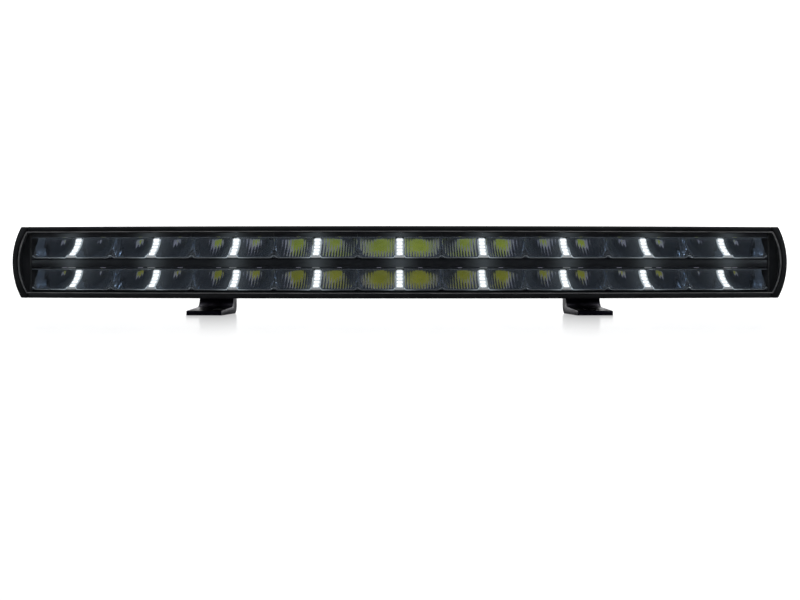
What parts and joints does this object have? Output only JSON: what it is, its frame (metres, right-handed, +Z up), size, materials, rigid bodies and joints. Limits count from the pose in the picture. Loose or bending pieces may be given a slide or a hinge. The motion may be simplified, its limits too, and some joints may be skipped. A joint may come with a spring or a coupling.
{
  "type": "led light bar",
  "caption": "Curved double-row LED light bar with fluted reflector cells, position lights, a clear lens and two sliding, tilting feet.",
  "frame": {"origin": "middle of the bar's footprint, on the surface the two feet stand on", "axes": "+X along the bar to its right end as its face is looked at, +Y from the lens to the back, +Z up"},
  "size_m": [0.7868, 0.1042, 0.0895],
  "materials": {
    "black_coat": "black powder coat on aluminium, satin",
    "lens": "clear hard-coated polycarbonate",
    "rubber": "black silicone rubber",
    "mirror": "vacuum-metallised moulding, fluted",
    "trim": "black moulding, satin gloss",
    "opal": "opal light guide, lit white",
    "board": "black solder mask on an aluminium-core board",
    "driver": "green circuit board",
    "steel": "zinc-plated steel fasteners",
    "nylon": "black nylon"
  },
  "bodies": {
    "bar": {"housing": "black_coat", "lens": "lens", "lens_gasket": "rubber", "centre_trim": "trim", "upper_led_board": "board", "lower_led_board": "board", "driver_board": "driver", "left_end_cap": "black_coat", "right_end_cap": "black_coat", "left_cap_gasket": "rubber", "right_cap_gasket": "rubber", "left_cap_screw_1": "steel", "left_cap_screw_2": "steel", "left_cap_screw_3": "steel", "left_cap_screw_4": "steel", "right_cap_screw_1": "steel", "right_cap_screw_2": "steel", "right_cap_screw_3": "steel", "right_cap_screw_4": "steel", "upper_reflector_1": "mirror", "upper_reflector_2": "mirror", "upper_reflector_3": "mirror", "upper_reflector_4": "mirror", "upper_reflector_5": "mirror", "upper_reflector_6": "mirror", "upper_reflector_7": "mirror", "upper_reflector_8": "mirror", "upper_reflector_9": "mirror", "lower_reflector_1": "mirror", "lower_reflector_2": "mirror", "lower_reflector_3": "mirror", "lower_reflector_4": "mirror", "lower_reflector_5": "mirror", "lower_reflector_6": "mirror", "lower_reflector_7": "mirror", "lower_reflector_8": "mirror", "lower_reflector_9": "mirror", "position_light_1": "opal", "position_light_2": "opal", "position_light_3": "opal", "position_light_4": "opal", "position_light_5": "opal", "position_light_6": "opal", "position_light_7": "opal", "position_light_8": "opal", "position_light_9": "opal", "cable_gland_body": "nylon", "cable_gland_nut": "nylon", "breather_vent": "nylon"},
    "left_carriage": {"left_slider": "black_coat", "left_clamp_screw": "steel"},
    "left_foot_fork": {"left_foot": "black_coat", "left_pivot_bolt": "steel", "left_pivot_nut": "steel"},
    "right_carriage": {"right_slider": "black_coat", "right_clamp_screw": "steel"},
    "right_foot_fork": {"right_foot": "black_coat", "right_pivot_bolt": "steel", "right_pivot_nut": "steel"}
  },
  "joints": [
    {"name": "left_foot_slide", "type": "slide", "parent": "bar", "child": "left_carriage", "axis": [-0.9951, 0.0993, 0], "range_m": [-0.025, 0.025]},
    {"name": "left_foot_tilt", "type": "hinge", "parent": "left_carriage", "child": "left_foot_fork", "pos_m": [-0.19068, 0.03791, 0.0445], "axis": [1, 0, 0], "range_deg": [-8, 90]},
    {"name": "right_foot_slide", "type": "slide", "parent": "bar", "child": "right_carriage", "axis": [0.9951, 0.0993, 0], "range_m": [-0.025, 0.025]},
    {"name": "right_foot_tilt", "type": "hinge", "parent": "right_carriage", "child": "right_foot_fork", "pos_m": [0.19068, 0.03791, 0.0445], "axis": [1, 0, 0], "range_deg": [-8, 90]}
  ],
  "couplings": [
    {"joint": "right_foot_tilt", "follows": "left_foot_tilt", "ratio": 1}
  ]
}
